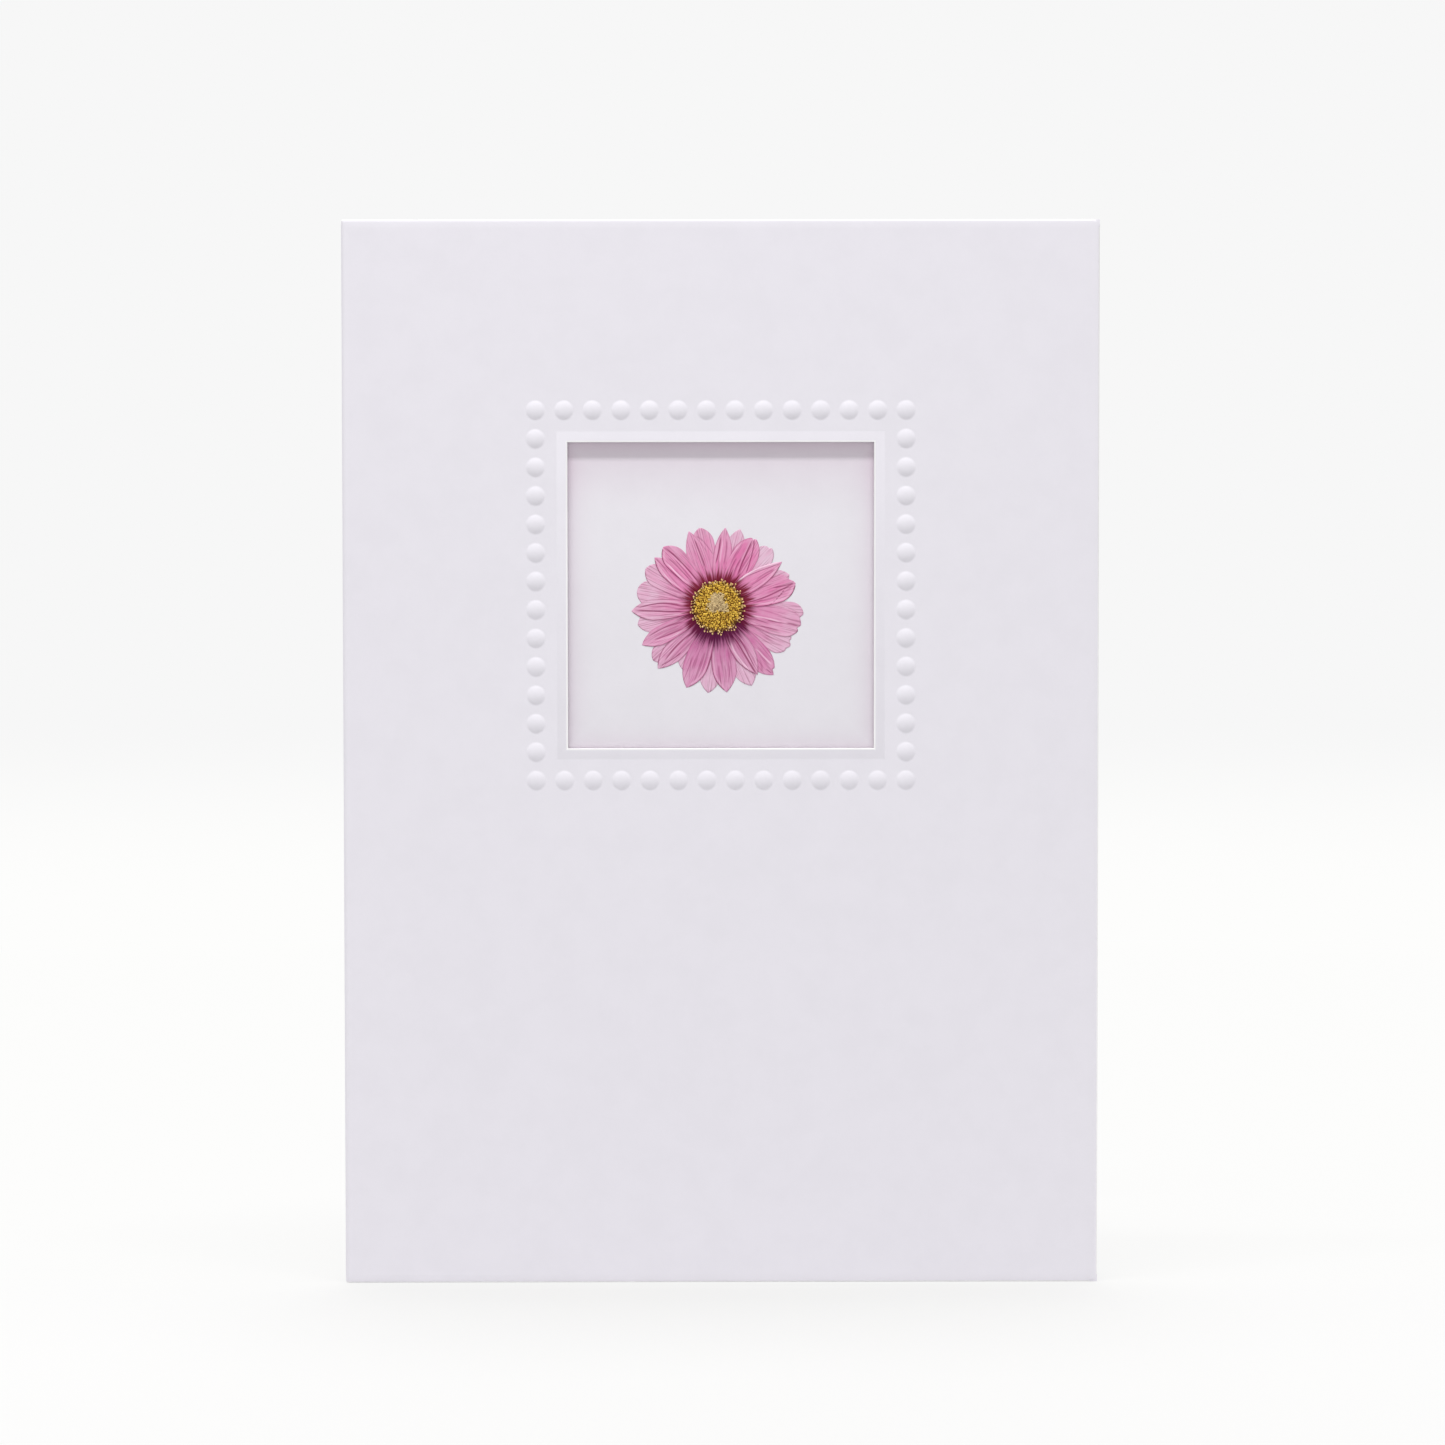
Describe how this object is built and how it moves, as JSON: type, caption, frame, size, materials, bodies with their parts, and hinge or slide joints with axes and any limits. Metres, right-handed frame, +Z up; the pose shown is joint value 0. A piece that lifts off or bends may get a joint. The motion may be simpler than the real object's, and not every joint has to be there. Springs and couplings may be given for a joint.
{
  "type": "greeting card",
  "caption": "Blank folded greeting card standing half open, with a raised square window, a border of embossed beads, and a pressed pink daisy mounted in the window.",
  "frame": {"origin": "middle of the base of the standing card's bounding box", "axes": "+Z up along the fold, -Y out of the front panel, +X from the fold towards the front panel's free edge"},
  "size_m": [0.105, 0.0614, 0.148],
  "materials": {
    "card_stock": "matte",
    "backing_paper": "matte",
    "petal_upper": "matte",
    "petal_lower": "matte",
    "flower_disc": "matte"
  },
  "bodies": {
    "root": {"card": "card_stock", "backing_sheet": "backing_paper", "flower_disc": "flower_disc", "petal_01": "petal_lower", "petal_02": "petal_upper", "petal_03": "petal_lower", "petal_04": "petal_upper", "petal_05": "petal_lower", "petal_06": "petal_upper", "petal_07": "petal_lower", "petal_08": "petal_upper", "petal_09": "petal_lower", "petal_10": "petal_upper", "petal_11": "petal_upper", "petal_12": "petal_upper", "petal_13": "petal_lower", "petal_14": "petal_lower", "petal_15": "petal_upper", "petal_16": "petal_lower", "petal_17": "petal_upper", "petal_18": "petal_lower", "petal_19": "petal_upper", "petal_20": "petal_lower", "petal_21": "petal_upper", "petal_22": "petal_lower", "petal_23": "petal_upper", "petal_24": "petal_lower", "petal_25": "petal_upper", "petal_26": "petal_upper", "petal_27": "petal_lower", "petal_28": "petal_upper"}
  },
  "joints": []
}
